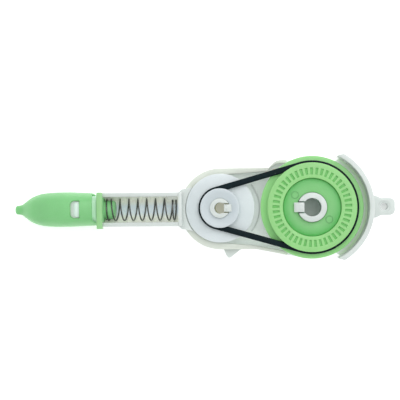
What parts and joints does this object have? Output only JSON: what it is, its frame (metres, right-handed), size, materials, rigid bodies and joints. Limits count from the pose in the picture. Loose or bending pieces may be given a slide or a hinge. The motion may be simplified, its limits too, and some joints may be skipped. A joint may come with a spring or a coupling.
{
  "type": "correction tape refill cartridge",
  "caption": "Belt-driven refill for a pen-shaped correction tape, with a sprung sliding collar, pull-off nose cap, coupled tape reels and a tail eyelet.",
  "frame": {"origin": "middle of the bounding box's underside, on the line through both reel axes, at the back face of the frame plate", "axes": "+X along the cartridge from tip to tail eyelet, +Z out of the open reel side, parallel to both reel axes, +Y across"},
  "size_m": [0.1108, 0.0304, 0.0149],
  "materials": {
    "white_plastic": "satin moulded polypropylene, slightly translucent",
    "green_plastic": "satin moulded plastic, light green",
    "reel_plastic": "satin, natural translucent white",
    "belt_rubber": "matt black moulded rubber",
    "clutch_silicone": "matt grey silicone",
    "spring_steel": "bright drawn wire",
    "correction_tape": "matt white coated tape",
    "used_tape": "clear carrier film, satin",
    "head_plastic": "satin white plastic"
  },
  "bodies": {
    "frame": {"frame": "white_plastic", "drive_belt": "belt_rubber", "applicator_head": "head_plastic", "tape_feed_run": "correction_tape", "tape_return_run": "used_tape", "return_spring": "spring_steel"},
    "supply_pulley": {"supply_pulley": "green_plastic", "clutch_ring": "clutch_silicone"},
    "supply_core": {"supply_core": "green_plastic", "supply_tape_roll": "correction_tape"},
    "take_up_reel": {"take_up_reel": "reel_plastic", "take_up_tape_roll": "used_tape"},
    "slide_collar": {"slide_collar": "green_plastic"},
    "head_cap": {"head_cap": "green_plastic"}
  },
  "joints": [
    {"name": "supply_pulley_spin", "type": "hinge", "parent": "frame", "child": "supply_pulley", "pos_m": [0.0313, 0, 0.008], "axis": [0, 0, 1], "continuous": true},
    {"name": "supply_core_slip", "type": "hinge", "parent": "supply_pulley", "child": "supply_core", "pos_m": [0.0313, 0, 0.005], "axis": [0, 0, 1], "continuous": true},
    {"name": "take_up_spin", "type": "hinge", "parent": "frame", "child": "take_up_reel", "pos_m": [0.0049, 0, 0.005], "axis": [0, 0, 1], "continuous": true},
    {"name": "collar_slide", "type": "slide", "parent": "frame", "child": "slide_collar", "axis": [1, 0, 0], "range_m": [0, 0.01], "stiffness_N_per_m": 160, "springref_m": -0.005, "deforming": ["return_spring"]},
    {"name": "cap_pull", "type": "slide", "parent": "frame", "child": "head_cap", "axis": [-1, 0, 0], "range_m": [0, 0.025]}
  ],
  "couplings": [
    {"joint": "take_up_spin", "follows": "supply_pulley_spin", "ratio": 2.3148}
  ]
}
